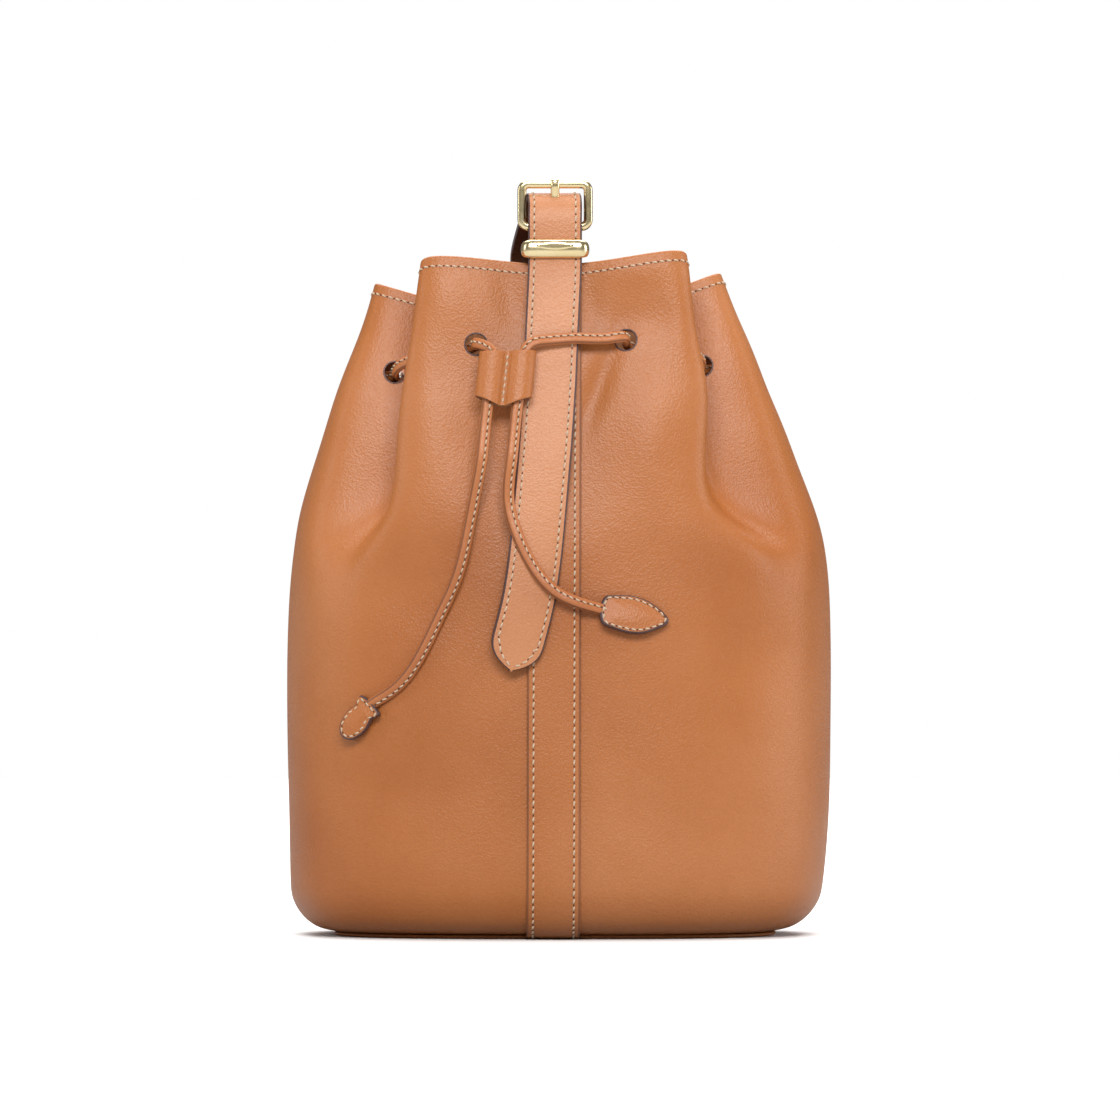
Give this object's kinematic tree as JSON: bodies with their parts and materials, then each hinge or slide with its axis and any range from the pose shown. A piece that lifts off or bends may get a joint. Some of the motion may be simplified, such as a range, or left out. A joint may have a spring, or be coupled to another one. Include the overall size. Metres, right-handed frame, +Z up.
{
  "type": "drawstring bucket bag",
  "caption": "Smooth tan leather bucket bag with a gathered drawstring mouth, a cord slider, and one shoulder strap buckled to a strip up the front.",
  "frame": {"origin": "middle of the underside of the base, where the bag stands", "axes": "+Z up, the front strip and buckle face -Y, +X is to the right of somebody facing the front"},
  "size_m": [0.3024, 0.2147, 0.4151],
  "materials": {
    "calf": "smooth satin tan calf leather",
    "facing": "matt flesh side of tan leather",
    "cord": "smooth tan leather folded and stitched",
    "strap_face": "smooth satin light tan leather",
    "strap_back": "smooth dark brown leather",
    "lining": "plain woven cotton",
    "board": "uncoated board",
    "brass": "polished"
  },
  "bodies": {
    "bag": {"base_panel": "calf", "base_board": "board", "base_lining": "lining", "body_panel_right": "calf", "body_panel_left": "calf", "mouth_facing_right": "facing", "mouth_facing_left": "facing", "wall_lining_right": "lining", "wall_lining_left": "lining", "front_strip": "calf", "back_strip": "calf", "strap_over_face": "strap_face", "strap_over_back": "strap_back", "drawcord": "cord"},
    "strap_tail": {"strap_tail_face": "strap_face", "strap_tail_back": "strap_back"},
    "strap_loop": {"strap_loop_face": "strap_face", "strap_loop_back": "strap_back"},
    "buckle": {"buckle_frame": "brass"},
    "prong": {"buckle_prong": "brass"},
    "keeper": {"keeper_loop": "brass"},
    "slider": {"cord_slider": "calf"},
    "left_cord": {"cord_end_left": "cord", "end_tab_left": "calf"},
    "right_cord": {"cord_end_right": "cord", "end_tab_right": "calf"}
  },
  "joints": [
    {"name": "slider_slide", "type": "slide", "parent": "bag", "child": "slider", "axis": [-0.1028, -0.1828, -0.9778], "range_m": [0, 0.022]},
    {"name": "left_cord_swing", "type": "hinge", "parent": "bag", "child": "left_cord", "pos_m": [-0.0402, -0.0961, 0.2595], "axis": [-1, 0, 0], "range_deg": [0, 70]},
    {"name": "right_cord_swing", "type": "hinge", "parent": "bag", "child": "right_cord", "pos_m": [-0.024, -0.0961, 0.2595], "axis": [-1, 0, 0], "range_deg": [0, 70]},
    {"name": "strap_tail_swing", "type": "hinge", "parent": "bag", "child": "strap_tail", "pos_m": [0, -0.0691, 0.377], "axis": [0, 1, 0], "range_deg": [-4, 4]},
    {"name": "strap_loop_lift", "type": "hinge", "parent": "bag", "child": "strap_loop", "pos_m": [0, 0.08, 0.341], "axis": [1, 0, 0], "range_deg": [0, 75]},
    {"name": "buckle_tip", "type": "hinge", "parent": "bag", "child": "buckle", "pos_m": [0, -0.0608, 0.3894], "axis": [1, 0, 0], "range_deg": [-7, 0]},
    {"name": "prong_lift", "type": "hinge", "parent": "buckle", "child": "prong", "pos_m": [0, -0.0608, 0.3894], "axis": [1, 0, 0], "range_deg": [0, 7]},
    {"name": "keeper_slide", "type": "slide", "parent": "bag", "child": "keeper", "axis": [0, 0, 1], "range_m": [-0.001, 0.002]}
  ]
}
